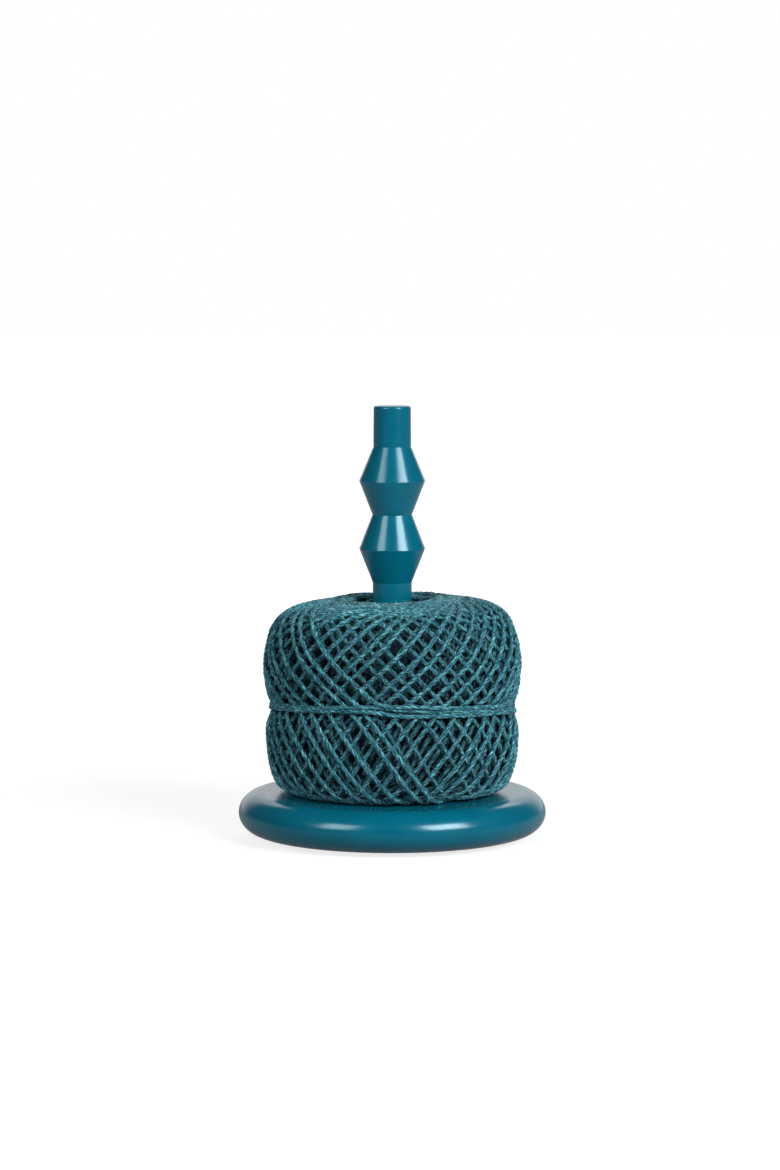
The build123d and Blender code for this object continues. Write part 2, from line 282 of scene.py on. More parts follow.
backdrop_strength = math(sky, "MAXIMUM", backdrop.outputs["Result"], sky_path.outputs["Is Camera Ray"])
link(sky, backdrop_strength, sky_white.inputs["Strength"])
sky_mix = add(sky, "MixShader")
link(sky, background_rays(sky, 1.0), sky_mix.inputs[0])
link(sky, sky_light.outputs[0], sky_mix.inputs[1])
link(sky, sky_white.outputs[0], sky_mix.inputs[2])
link(sky, sky_mix.outputs[0], sky_output.inputs[0])


# Lamps: a softbox on each side in front and a weaker one behind, and panels that only show as
# highlights, a tall one on each side in front and a small one on each side behind. Each has its
# azimuth and elevation in degrees, its distance, width and height in metres, its power in
# watts, and the rays that it is hidden from.
lamps = {
    "softbox_left": (-44, 25, 1.3, 0.64, 0.44, 7.4, "glossy"),
    "softbox_right": (43, 25, 1.3, 0.76, 0.44, 20.5, "glossy"),
    "softbox_back": (180, 20, 1.3, 0.80, 0.40, 8.0, "glossy"),
    "panel_left": (-44, 29, 1.3, 0.55, 0.62, 11.5, "diffuse"),
    "panel_right": (43, 29, 1.3, 0.66, 0.62, 31.0, "diffuse"),
    "back_panel_left": (-162, 31, 1.5, 0.36, 0.36, 0.45, "diffuse"),
    "back_panel_right": (162, 31, 1.5, 0.36, 0.36, 0.8, "diffuse"),
}


def add_lamp(name, azimuth, elevation, distance, width, height, power, hidden_from):
    """A rectangular lamp in this direction from the object, facing it."""
    azimuth, elevation = radians(azimuth), radians(elevation)
    lamp_data = bpy.data.lights.new(name, "AREA")
    lamp_data.shape = "RECTANGLE"
    lamp_data.size = width
    lamp_data.size_y = height
    lamp_data.energy = power
    lamp = bpy.data.objects.new(name, lamp_data)
    middle = Vector((0, 0, cad_high.z / 2))
    side = Vector((sin(azimuth) * cos(elevation), -cos(azimuth) * cos(elevation), sin(elevation)))
    lamp.location = middle + side * distance
    lamp.rotation_euler = side.to_track_quat("Z", "Y").to_euler()
    lamp.visible_camera = False
    setattr(lamp, "visible_" + hidden_from, False)
    bpy.context.scene.collection.objects.link(lamp)


for name, settings in lamps.items():
    add_lamp(name, *settings)


# The ball's surface: its outline from the hollow at the foot, up the flank to the hollow at
# the crest, as shares of its radius and of its height. The waist band lies in the dip.
foot_outline_shares = [(0.315, 0.085), (0.322, 0.050), (0.345, 0.018), (0.400, 0.004), (0.500, 0.0),
                       (0.620, 0.0), (0.730, 0.002), (0.800, 0.010), (0.860, 0.028), (0.903, 0.055)]
flank_outline_shares = [(0.943, 0.115), (0.966, 0.190), (0.974, 0.280), (0.966, 0.345), (0.948, 0.390),
                        (0.925, 0.425), (0.948, 0.460), (0.970, 0.505), (0.990, 0.580), (1.0, 0.655),
                        (0.994, 0.720), (0.982, 0.765), (0.958, 0.822)]
crest_outline_shares = [(0.920, 0.880), (0.878, 0.921), (0.815, 0.953), (0.736, 0.974),
                        (0.640, 0.986), (0.540, 0.993), (0.450, 0.998), (0.380, 1.0),
                        (0.338, 0.991), (0.314, 0.968), (0.305, 0.930)]
outline_step = 0.25 * MM
stretch_points = 24
flank_from = 26 * MM
crest_from = 84 * MM
flank_least_radius = 0.9 * ball_radius

# The band is higher in front than at the back, and the ball's left shoulder is the lower one
band_rise_front = 4.2 * MM
band_rise_right = -0.2 * MM
band_rise = 0.6 * MM
band_rise_reach = 36 * MM
shoulder_lean = 0.022
shoulder_axis = 0.6 * ball_radius


def smooth_line(points, step):
    """Places a step apart along a rounded line through the points."""
    points = np.array(points)
    padded = np.vstack([2 * points[0] - points[1], points, 2 * points[-1] - points[-2]])
    share = np.linspace(0, 1, stretch_points, endpoint=False)[:, None]
    stretches = []
    for a, b, c, d in zip(padded, padded[1:], padded[2:], padded[3:]):
        stretches.append(((2 * b) + (c - a) * share + (2 * a - 5 * b + 4 * c - d) * share**2
                          + (3 * b - a - 3 * c + d) * share**3) / 2)
    line = np.vstack(stretches + [points[-1:]])
    along = np.concatenate([[0], np.cumsum(np.linalg.norm(np.diff(line, axis=0), axis=1))])
    even = np.arange(0, along[-1], step)
    return np.column_stack([np.interp(even, along, line[:, k]) for k in (0, 1)])


shares = foot_outline_shares + flank_outline_shares + crest_outline_shares
outline = smooth_line([(r * ball_radius, ball_foot + h * ball_height) for r, h in shares], outline_step)
outline_along = np.arange(len(outline)) * outline_step
outline_heading = np.gradient(outline, outline_step, axis=0)
outline_heading /= np.linalg.norm(outline_heading, axis=1)[:, None]
outline_radius, outline_height = outline.T
outline_half = len(outline) // 2
outline_quarter = outline_half // 2


def on_outline(values, along):
    """These values of the outline at places along it."""
    return np.interp(along, outline_along, values)


def along_at(radius, top):
    """Where the outline has this radius, on the crest or on the foot."""
    if top:
        return np.interp(-radius, -outline_radius[outline_half:], outline_along[outline_half:])
    return np.interp(radius, outline_radius[:outline_quarter], outline_along[:outline_quarter])


flank = ((outline_height > flank_from) & (outline_height < crest_from)
         & (outline_radius > flank_least_radius))
along_waist = np.interp(waist_height, outline_height[flank], outline_along[flank])


# How the twine is wound: each loop goes down the flank, round the foot and up again, and the
# last passes show
twine_radius = 0.94 * MM
squeeze = 0.78
loops_per_pass = 38
pass_shift = 0.35
pass_count = 5
shown_passes = 3
loop_step = 2 * pi / (loops_per_pass + pass_shift)
half_turn = pi + loop_step / 2
point_step = 0.8 * MM
last_fall_angle = radians(-4.5)

# How far from the axis a strand would pass if it ran on straight, by height: less is steeper
lean_heights = [19 * MM, 25 * MM, 38 * MM, 50 * MM, 67 * MM, 80 * MM, 88 * MM]
lean_reaches = [27.0 * MM, 29.5 * MM, 31.0 * MM, 30.5 * MM, 31.5 * MM, 29.5 * MM, 27.5 * MM]
lean_edge = 44 * MM
least_reach = 5 * MM
most_reach_share = 0.9995
least_lean, most_lean = 0.5, 1.5
lean_rounds = 30
half_loop_points = 361

# Each pass turns back at its own ring on the crest and on the foot, where the strands scatter
top_rings = [17.0 * MM, 19.0 * MM, 16.8 * MM, 19.0 * MM, 22.5 * MM]
foot_rings = [25.0 * MM, 28.0 * MM, 26.0 * MM, 29.0 * MM, 32.0 * MM]
ring_scatter = 1.8 * MM
ring_waves = ((0.6, 0.77, 0), (0.4, 2.1, 1))
ring_chance = 0.45
ring_blend = 26 * MM

# How unevenly the strands lie: their steps round the ball, and each one's own sway
uneven_step = 0.11 * loop_step
under_unevenness = 1.5
sway_size = 0.10 * MM
sway_spans = (7 * MM, 12 * MM, 21 * MM)
sway_ease = 12 * MM
chance = np.random.default_rng(7)


def eased(share):
    """A share from 0 to 1 with a gentle start and end."""
    return share * share * (3 - 2 * share)


def waves(values, parts):
    """The sum of sine waves, each with its size, its pace and its phase."""
    return sum(size * np.sin(values * pace + phase) for size, pace, phase in parts)


def half_loop(top_ring, foot_ring):
    """A strand's angle and its place along the outline, from the top ring down to the foot
    ring. Its turn is half a loop's, and it leans over most near the rings."""
    start, end = along_at(top_ring, True), along_at(foot_ring, False)
    share = np.linspace(0, 1, half_loop_points)
    along = start + (end - start) * (1 - np.cos(pi * share)) / 2
    middle = (along[1:] + along[:-1]) / 2
    radius = on_outline(outline_radius, middle)
    height = on_outline(outline_height, middle)
    lean = np.interp(height, lean_heights, lean_reaches)
    ring = np.where(height > waist_height, top_ring, foot_ring)
    inward = np.clip((radius - ring) / (lean_edge - ring), 0, 1)
    low, high = least_lean, most_lean
    for _ in range(lean_rounds):
        scale = (low + high) / 2
        reach = np.clip(ring + (lean * scale - ring) * inward, least_reach, radius * most_reach_share)
        turns = reach / (radius * np.sqrt(radius**2 - reach**2)) * np.abs(np.diff(along))
        if turns.sum() > half_turn:
            high = scale
        else:
            low = scale
    angle = np.concatenate([[0], np.cumsum(turns)]) * half_turn / turns.sum()
    return angle - np.interp(-along_waist, -along, angle), along


def strand_line(number, shape, offsets, ring_shifts):
    """One loop's angle and place along the outline: its falling half and its rising half."""
    angle, along = shape
    fall_angle = last_fall_angle - (pass_count * loops_per_pass - 1 - number) * loop_step
    share = np.linspace(0, 1, len(angle))
    first, second = eased(np.clip(2 * share, 0, 1)), eased(np.clip(2 * share - 1, 0, 1))
    halves = []
    for half in (0, 1):
        before, here, after = offsets[2 * number + half:2 * number + half + 3]
        start, end = (before + here) / 2, (here + after) / 2
        offset = start + (here - start) * first + (end - here) * second
        if half == 0:
            turned, place = fall_angle + angle, along.copy()
        else:
            turned, place = fall_angle + 2 * angle[-1] - angle[::-1], along[::-1].copy()
        radius = on_outline(outline_radius, (place[1:] + place[:-1]) / 2)
        travel = np.concatenate([[0], np.cumsum(np.hypot(np.diff(turned) * radius, np.diff(place)))])
        near_start = eased(np.clip(1 - travel / ring_blend, 0, 1))
        near_end = eased(np.clip(1 - (travel[-1] - travel) / ring_blend, 0, 1))
        start_shift, end_shift = ring_shifts[2 * number + half:2 * number + half + 2]
        place += near_start * start_shift + near_end * end_shift
        halves.append((turned + offset, place))
    return (np.concatenate([halves[0][0], halves[1][0][1:]]),
            np.concatenate([halves[0][1], halves[1][1][1:]]))


def evened(angle, along):
    """The same strand with its points an even step apart, and each point's length along it."""
    radius = on_outline(outline_radius, along)
    middle = (radius[1:] + radius[:-1]) / 2
    length = np.concatenate([[0], np.cumsum(np.hypot(np.diff(angle) * middle, np.diff(along)))])
    even = np.linspace(0, length[-1], int(length[-1] / point_step))
    return np.interp(even, length, angle), np.interp(even, length, along), even


# The ground that strands rest on: a grid of heights over the ball's surface. A strand's last
# points join the ground together with the next strand.
grid_columns = 760
grid_step = 0.4 * MM
grid_rows = int(outline_along[-1] / grid_step) + 2
ground = np.zeros((grid_rows, grid_columns))
joint_points = 14
touch_share = 0.9
touch_points = 7
press_points = 13
settling_rounds = 60
bow_radius = 0.052
full_packing_radius = 0.8 * ball_radius
least_packing = 0.10
band_packing = 0.9
band_packing_from = 0.5
band_packing_blend = 20 * MM


def cells(angle, along):
    """The grid's rows and columns at these places."""
    column = np.round(angle / (2 * pi) * grid_columns).astype(int) % grid_columns
    row = np.clip(np.round(along / grid_step).astype(int), 0, grid_rows - 1)
    return row, column


def strand_sides(angle, along):
    """For each point of a strand, its step and the direction across it, as (round, along)."""
    radius = on_outline(outline_radius, along)
    step_round, step_along = np.gradient(angle) * radius, np.gradient(along)
    size = np.hypot(step_round, step_along)
    return size, -step_along / size / radius, step_round / size


def packing_at(angle, along):
    """How much of its thickness a strand adds: less where the strands crowd at the rings."""
    _, across_round, _ = strand_sides(angle, along)
    radius = on_outline(outline_radius, along)
    steep = np.abs(across_round) * radius
    return np.clip(radius * steep / full_packing_radius, least_packing, 1.0)


def rest_heights(angle, along, packing, start_height):
    """The height of a strand's middle where it lies on the ground under tension."""
    size, across_round, across_along = strand_sides(angle, along)
    offsets = np.linspace(-touch_share, touch_share, touch_points) * twine_radius
    rounding = np.sqrt(twine_radius**2 - offsets**2) * squeeze
    row, column = cells(angle + across_round * offsets[:, None], along + across_along * offsets[:, None])
    rest = (ground[row, column] + rounding[:, None] * packing).max(axis=0)
    bow = 0.5 * size**2 / (2 * bow_radius)
    height = rest.copy()
    if start_height is not None:
        height[0] = start_height
    for _ in range(settling_rounds):
        height[1:-1] = np.maximum(rest[1:-1], (height[:-2] + height[2:]) / 2 - bow[1:-1])
    return height


def raise_ground(angle, along, height, packing):
    """Raise the ground under a strand that has been laid."""
    _, across_round, across_along = strand_sides(angle, along)
    points = np.arange(len(angle))
    fine = np.linspace(0, len(angle) - 1, 2 * len(angle))
    lines = (angle, along, height, packing, across_round, across_along)
    lines = [np.interp(fine, points, values) for values in lines]
    angle, along, height, packing, across_round, across_along = lines
    offsets = np.linspace(-1, 1, press_points) * twine_radius
    rounding = np.sqrt(np.maximum(twine_radius**2 - offsets**2, 0)) * squeeze
    row, column = cells(angle + across_round * offsets[:, None], along + across_along * offsets[:, None])
    np.maximum.at(ground, (row, column), height + rounding[:, None] * packing)


def wind_ball():
    """Wind every pass. Gives the strands that show, as [angle, along, height, length], and the
    ground as it was before they were laid and before the band was."""
    count = pass_count * loops_per_pass
    offsets = chance.normal(0, uneven_step, 2 * count + 3)
    offsets[:2 * (count - loops_per_pass)] *= under_unevenness
    turning_points = np.arange(2 * count + 2)
    drift = waves(turning_points, ring_waves) + chance.uniform(-ring_chance, ring_chance, 2 * count + 2)
    ring_shifts = ring_scatter * drift
    strands, hidden_ground, waiting, done = [], None, None, 0.0
    for number in range(count):
        round_number = number // loops_per_pass
        if number % loops_per_pass == 0:
            shape = half_loop(top_rings[round_number], foot_rings[round_number])
        if number == (pass_count - shown_passes) * loops_per_pass:
            hidden_ground = ground.copy()
        angle, along = strand_line(number, shape, offsets, ring_shifts)
        if number == count - 1:
            wound_ground = ground.copy()
            angle, along = into_the_band(angle, along)
        angle, along, length = evened(angle, along)
        phases = chance.uniform(0, 2 * pi, len(sway_spans))
        sway = sum(np.sin((length + done) / span + phase) for span, phase in zip(sway_spans, phases))
        ease = np.clip(np.minimum(length, length[-1] - length) / sway_ease, 0, 1)
        angle = angle + sway_size * sway * ease / on_outline(outline_radius, along)
        packing = packing_at(angle, along)
        if number == count - 1:
            in_band = np.clip((length - length[-1] * band_packing_from) / band_packing_blend, 0, 1)
            packing = np.maximum(packing, in_band * band_packing)
        start_height = waiting[2][-1] if waiting else None
        height = rest_heights(angle, along, packing, start_height)
        laid = [values[:-joint_points] for values in (angle, along, height, packing)]
        if waiting:
            laid = [np.concatenate([old, new[1:]]) for old, new in zip(waiting, laid)]
        raise_ground(*laid)
        waiting = [values[-joint_points:] for values in (angle, along, height, packing)]
        if hidden_ground is not None:
            strands.append([angle, along, height, length + done])
        done += length[-1]
    return strands, hidden_ground, wound_ground


# The band: the last strand bends into it and goes nearly three times round, and its end is
# tucked under
band_lane = 1.5 * MM
band_top_lane = 0.5 * MM
band_turns = 2.73
band_points = 1400
band_step_start = radians(-15)
band_step_end = radians(8)
band_bend = 4.5 * MM
band_bend_points = 24
band_wander = ((0.16 * MM, 2.3, 0), (0.12 * MM, 5.1, 1))
band_wander_ease = 0.3
band_tuck = 9 * MM
tuck_depth = 2.4 * MM


def into_the_band(angle, along):
    """The last loop: down to the waist, then round and round in the band's lanes."""
    lane = along_waist + band_top_lane
    end = int(np.argmax(along < lane))
    corner = angle[end]
    travel = np.hypot((angle[:end] - corner) * on_outline(outline_radius, along[:end]), along[:end] - lane)
    keep = int(np.argmax(travel < band_bend))
    bent = corner + band_bend / on_outline(outline_radius, lane)
    share = np.linspace(0, 1, band_bend_points)[1:]
    bend_angle = (1 - share)**2 * angle[keep] + 2 * share * (1 - share) * corner + share**2 * bent
    bend_along = (1 - share)**2 * along[keep] + (1 - (1 - share)**2) * lane
    wrap = np.linspace(bent, corner + band_turns * 2 * pi, band_points)[1:]
    first_turn, last_turn = int(np.floor(wrap[0] / (2 * pi))) + 1, int(wrap[-1] / (2 * pi)) + 1
    steps = 0
    for turn in range(first_turn, last_turn + 1):
        share = (wrap - 2 * pi * turn - band_step_start) / (band_step_end - band_step_start)
        steps = steps + eased(np.clip(share, 0, 1))
    wander = waves(wrap, band_wander)
    wander *= eased(np.clip((wrap - wrap[0]) / band_wander_ease, 0, 1))
    return (np.concatenate([angle[:keep + 1], bend_angle, wrap]),
            np.concatenate([along[:keep + 1], bend_along, lane - steps * band_lane + wander]))


# Gaps that the twine keeps from the paper core and from the base
core_gap = 0.1 * MM
base_gap = 0.08 * MM


def surface_place(angle, along, height, thickness=twine_radius):
    """Places over the ball's surface, with the surface's outward direction there."""
    radius = on_outline(outline_radius, along)
    level = on_outline(outline_height, along)
    head_r, head_z = on_outline(outline_heading[:, 0], along), on_outline(outline_heading[:, 1], along)
    out_r, out_z = head_z, -head_r
    r = np.maximum(radius + out_r * height, core_radius + thickness + core_gap)
    z = level + out_z * height
    lift = np.cos(np.clip((z - waist_height) / band_rise_reach, -1, 1) * pi / 2) ** 2
    z = z + lift * (band_rise + band_rise_front * np.cos(angle) + band_rise_right * np.sin(angle))
    upper = eased(np.clip((z - waist_height) / (ball_crest - waist_height), 0, 1))
    z = z + shoulder_lean * upper * (r * np.sin(angle) - shoulder_axis)
    z = np.maximum(z, base_top + thickness + base_gap)
    place = np.column_stack([r * np.sin(angle), -r * np.cos(angle), z])
    outward = np.column_stack([out_r * np.sin(angle), -out_r * np.cos(angle), out_z])
    return place, outward


# The outline is where the uppermost strands lie, so all heights are lowered by theirs. What
# still stands above it on the crest is pressed down.
level_percentile = 86
level_window = 33
crest_blend = 6 * MM
crest_press = 0.35


def outer_level(wound_ground):
    """The height of the uppermost strands along the outline, smoothed."""
    level = np.percentile(wound_ground, level_percentile, axis=1)
    padded = np.pad(level, level_window // 2, mode="edge")
    level = np.convolve(padded, np.ones(level_window) / level_window, mode="valid")
    return np.arange(grid_rows) * grid_step, level


strands, hidden_ground, wound_ground = wind_ball()
level_along, level_height = outer_level(wound_ground)
for strand in strands:
    high = strand[2] - np.interp(strand[1], level_along, level_height)
    on_crest = np.clip((on_outline(outline_height, strand[1]) - crest_from) / crest_blend, 0, 1)
    above = np.maximum(high + twine_radius * squeeze, 0)
    strand[2] = high - above * crest_press * on_crest
twine_end = strands[-1]
to_the_end = twine_end[3][-1] - twine_end[3]
twine_end[2] = twine_end[2] - tuck_depth * eased(np.clip(1 - to_the_end / band_tuck, 0, 1))


# Mesh helpers
def new_mesh(name, places, faces, material, maps):
    """A smooth mesh object of these faces, all with the same number of corners in each list,
    with its texture maps given corner by corner."""
    mesh = bpy.data.meshes.new(name)
    loops = np.concatenate([f.ravel() for f in faces]).astype(np.int32)
    sizes = np.concatenate([np.full(len(f), f.shape[1]) for f in faces]).astype(np.int32)
    starts = np.concatenate([[0], np.cumsum(sizes)[:-1]]).astype(np.int32)
    mesh.vertices.add(len(places))
    mesh.vertices.foreach_set("co", places.astype(np.float32).ravel())
    mesh.loops.add(len(loops))
    mesh.loops.foreach_set("vertex_index", loops)
    mesh.polygons.add(len(sizes))
    mesh.polygons.foreach_set("loop_start", starts)
    mesh.polygons.foreach_set("use_smooth", np.ones(len(sizes), bool))
    mesh.update(calc_edges=True)
    for map_name, values in maps.items():
        layer = mesh.uv_layers.new(name=map_name)
        layer.data.foreach_set("uv", values.astype(np.float32).ravel())
    mesh.materials.append(material)
    piece = bpy.data.objects.new(name, mesh)
    bpy.context.scene.collection.objects.link(piece)
    return piece


def tube_grid(rings, corners):
    """The ring and the corner that each quad of a tube starts from."""
    return np.meshgrid(np.arange(rings - 1), np.arange(corners), indexing="ij")


def tube_quads(first, ring, corner, corners):
    """The quads of a tube whose points start at the first one."""
    here = first + ring * corners + corner
    after = first + ring * corners + (corner + 1) % corners
    return np.stack([here, after, after + corners, here + corners], axis=-1).reshape(-1, 4)


def quad_map(low, high, near, far):
    """A texture map for quads that go from low to high along and from near to far round."""
    return np.stack([low, near, low, far, high, far, high, near], axis=-1).reshape(-1, 2)


# Twine mesh: plies twisted together, which swell and thin a little along the way. One turn of
# the twist is a lay.
plies = 3
lay_length = 7.4 * MM
ply_size = 1.02
valley_depth = 0.28
valley_sharpness = 1.4
swells = ((0.05, 5.3 * MM), (0.04, 1.9 * MM))
# Painted shade of deep strands: it starts at the first depth below the uppermost strands and is full at
# the second
painted_shade_from = 0.1 * MM
painted_shade_to = 3.2 * MM
strip_margin = 0.06
strip_share = 0.88


def twine_line(angle, along, height, length):
    """A strand as places, outward directions, lengths and how deep it lies, as a share that sets its
    painted shade.
    """
    depth = (-height - twine_radius * squeeze - painted_shade_from) / (painted_shade_to - painted_shade_from)
    return (*surface_place(angle, along, height), length, np.clip(depth, 0, 1))


def twine_mesh(name, lines, corners, material):
    """One mesh of twisted twine along these lines. Each line has a strip of the texture map. The map
    called strand runs along and round the twine, and the one called depth has its depth, which sets the
    painted shade of deep strands."""
    section = np.arange(corners) * 2 * pi / corners
    valley = 0.5 - 0.5 * np.cos(plies * section)
    section_radius = twine_radius * (ply_size - valley_depth * valley**valley_sharpness)
    places, quads, bake_maps, strand_maps, depth_maps, caps = [], [], [], [], [], []
    count = 0
    strip = 1 / len(lines)
    for index, (line, outward, length, depth) in enumerate(lines):
        heading = np.gradient(line, axis=0)
        heading /= np.linalg.norm(heading, axis=1)[:, None]
        side = np.cross(heading, outward)
        side /= np.linalg.norm(side, axis=1)[:, None]
        top = np.cross(side, heading)
        theta = section[None, :] + (length / lay_length * 2 * pi)[:, None]
        spread = np.cos(theta)[..., None] * top[:, None, :] + np.sin(theta)[..., None] * side[:, None, :]
        swell = sum((share * np.sin(length / span) for share, span in swells), 1)
        size = section_radius[None, :] * swell[:, None]
        places.append((line[:, None, :] + spread * size[..., None]).reshape(-1, 3))
        ring, corner = tube_grid(len(line), corners)
        quads.append(tube_quads(count, ring, corner, corners))
        near, far = corner / corners, (corner + 1) / corners
        run = (length - length[0]) / (length[-1] - length[0])
        lower = strip * (index + strip_margin + strip_share * near)
        upper = strip * (index + strip_margin + strip_share * far)
        bake_maps.append(quad_map(run[ring], run[ring + 1], lower, upper))
        strand_maps.append(quad_map(length[ring] / lay_length, length[ring + 1] / lay_length, near, far))
        depth_maps.append(quad_map(depth[ring], depth[ring + 1], near, near))
        last = count + (len(line) - 1) * corners
        caps += [np.arange(count, count + corners)[::-1], np.arange(last, last + corners)]
        count += len(line) * corners
    cap_map = np.zeros((len(caps) * corners, 2))
    maps = {"OFBake": np.vstack(bake_maps + [cap_map]), "strand": np.vstack(strand_maps + [cap_map]),
            "depth": np.vstack(depth_maps + [cap_map])}
    return new_mesh(name, np.vstack(places), [np.vstack(quads), np.array(caps)], material, maps)


# Mesh of the hidden layers
layers_stride = 3
layers_sink = 0.3 * MM
layers_least_depth = 1.5 * MM
layers_thickness = 0.1 * MM
layers_core_gap = 0.15 * MM
layers_bore_inset = 1 * MM


def layers_mesh(name, material):
    """The hidden layers as one closed body: the ground that the shown strands were laid on."""
    rows = np.arange(0, grid_rows, layers_stride)
    columns = np.arange(0, grid_columns, layers_stride)
    along = np.minimum(rows * grid_step, outline_along[-1])
    lows = np.minimum(hidden_ground, np.roll(hidden_ground, 1, axis=1))
    heights = lows[rows][:, columns] - np.interp(along, level_along, level_height)[:, None] - layers_sink
    heights = np.minimum(heights, -layers_least_depth)
    angle = columns / grid_columns * 2 * pi
    grid_places = []
    for place_along, row_heights in zip(along, heights):
        row_along = np.full(len(angle), place_along)
        grid_places.append(surface_place(angle, row_along, row_heights, layers_thickness)[0])
    bore = core_radius + layers_core_gap
    top = grid_places[-1][:, 2].mean() - layers_bore_inset
    bottom = grid_places[0][:, 2].mean() + layers_bore_inset
    for level in (top, bottom):
        level_places = [bore * np.sin(angle), -bore * np.cos(angle), np.full(len(angle), level)]
        grid_places.append(np.column_stack(level_places))
    n, m = len(grid_places), len(columns)
    row, column = np.meshgrid(np.arange(n), np.arange(m), indexing="ij")
    below, after = (row + 1) % n, (column + 1) % m
    quads = np.stack([row * m + column, row * m + after, below * m + after, below * m + column], axis=-1)
    low, high = column / m, (column + 1) / m
    near, far = row / n, (row + 1) / n
    bake = np.stack([low, near, high, near, high, far, low, far], axis=-1).reshape(-1, 2)
    return new_mesh(name, np.vstack(grid_places), [quads.reshape(-1, 4)], material, {"OFBake": bake})


# Jute: fibres wound along the twine in streaks, shades that change along it, and painted shade that
# darkens the valleys between the plies
jute_dark = srgb(4, 38, 52)
jute_middle = srgb(18, 100, 118)
jute_light = srgb(134, 210, 219)
jute_green = srgb(70, 150, 146)
jute_grey = srgb(150, 160, 176)
painted_valley_shade = srgb(2, 22, 32)
# Painted shade: the colour of deep strands is multiplied towards this tint
painted_depth_shade = (0.46, 0.54, 0.56, 1)
fibre_turns_per_lay = 0.75
streaks_round = 2.6
streaks_along = 3.6
shades_along = 0.29
most_grey = 0.35
most_green = 0.5
valley_narrowness = 1.6
valley_shade_strength = 0.5

twisted, entry, leave = new_group(
    "twisted_jute", [("Vector", "Vector")], [("Colour", "Color"), ("Height", "Float")])
strand_parts = add(twisted, "SeparateXYZ")
link(twisted, entry.outputs["Vector"], strand_parts.inputs[0])
run, turn = strand_parts.outputs[0], strand_parts.outputs[1]
fibre_turn = math(twisted, "ADD", turn, math(twisted, "MULTIPLY", run, fibre_turns_per_lay))
fibre_angle = math(twisted, "MULTIPLY", fibre_turn, 2 * pi)
streak_place = add(twisted, "CombineXYZ")
for axis, operation in enumerate(("COSINE", "SINE")):
    round_place = math(twisted, "MULTIPLY", math(twisted, operation, fibre_angle), streaks_round)
    link(twisted, round_place, streak_place.inputs[axis])
link(twisted, math(twisted, "MULTIPLY", run, streaks_along), streak_place.inputs[2])
streaks = add(twisted, "TexNoise", Scale=1.0, Detail=5.0, Roughness=0.7)
link(twisted, streak_place.outputs[0], streaks.inputs["Vector"])
streak_stops = [(0.37, jute_dark), (0.50, jute_middle), (0.63, jute_light)]
streak_colour = ramp(twisted, streaks.outputs[0], streak_stops)
shade_place = add(twisted, "CombineXYZ")
link(twisted, math(twisted, "MULTIPLY", run, shades_along), shade_place.inputs[0])
shades = add(twisted, "TexNoise", Scale=1.0, Detail=3.0, Roughness=0.6)
link(twisted, shade_place.outputs[0], shades.inputs["Vector"])
grey_part = ramp(twisted, shades.outputs[0], [(0.52, 0.0), (0.70, 1.0)])
green_part = ramp(twisted, shades.outputs[0], [(0.34, 1.0), (0.50, 0.0)])
grey_share = math(twisted, "MULTIPLY", grey_part, most_grey)
green_share = math(twisted, "MULTIPLY", green_part, most_green)
tinted = mix(twisted, grey_share, streak_colour, jute_grey, "SOFT_LIGHT")
tinted = mix(twisted, green_share, tinted, jute_green, "SOFT_LIGHT")
# Painted shade: the colour is darkened towards the valleys between the plies
ply_angle = math(twisted, "MULTIPLY", turn, plies * 2 * pi)
ply_wave = math(twisted, "MULTIPLY", math(twisted, "COSINE", ply_angle), 0.5)
between_plies = math(twisted, "POWER", math(twisted, "SUBTRACT", 0.5, ply_wave), valley_narrowness)
valley_shade_share = math(twisted, "MULTIPLY", between_plies, valley_shade_strength)
link(twisted, mix(twisted, valley_shade_share, tinted, painted_valley_shade), leave.inputs["Colour"])
link(twisted, streaks.outputs[0], leave.inputs["Height"])


# Where a strand lies deep among the others its colour is darkened, as painted shade
jute, tree, output = new_material("dyed_jute")
fibres = use_group(tree, twisted, add(tree, "UVMap", uv_map="strand").outputs[0])
depth_parts = add(tree, "SeparateXYZ")
link(tree, add(tree, "UVMap", uv_map="depth").outputs[0], depth_parts.inputs[0])
painted_depth_shading = mix(tree, depth_parts.outputs[0], (1.0, 1.0, 1.0, 1), painted_depth_shade)
shader = add(tree, "BsdfPrincipled", Roughness=0.75, Specular_IOR_Level=0.1, Sheen_Weight=0.08)
link(tree, mix(tree, 1.0, fibres.outputs["Colour"], painted_depth_shading, "MULTIPLY"), shader.inputs["Base Color"])
fibre_relief = add(tree, "Bump", Strength=0.55, Distance=0.25 * MM)
link(tree, fibres.outputs["Height"], fibre_relief.inputs["Height"])
link(tree, fibre_relief.outputs[0], shader.inputs["Normal"])
link(tree, shader.outputs[0], output.inputs[0])


def plain_material(name, colours, scale, roughness, relief_scale, relief, **values):
    """A mottled material with a fine relief: its dark and light colour, its patches' scale and
    their roughness, the relief's scale, and the relief's strength and depth."""
    material, tree, output = new_material(name)
    place = add(tree, "TexCoord").outputs["Object"]
    colour = use_group(tree, mottle, place, Scale=scale, Dark=colours[0], Light=colours[1])
    bump = use_group(tree, grain, place, Scale=relief_scale, Strength=relief[0], Depth=relief[1])
    shader = add(tree, "BsdfPrincipled", **values)
    low, high = roughness
    rougher = math(tree, "MULTIPLY", colour.outputs["Value"], high - low)
    link(tree, math(tree, "ADD", rougher, low), shader.inputs["Roughness"])
    link(tree, colour.outputs["Colour"], shader.inputs["Base Color"])
    link(tree, bump.outputs["Normal"], shader.inputs["Normal"])
    link(tree, shader.outputs[0], output.inputs[0])
    return material
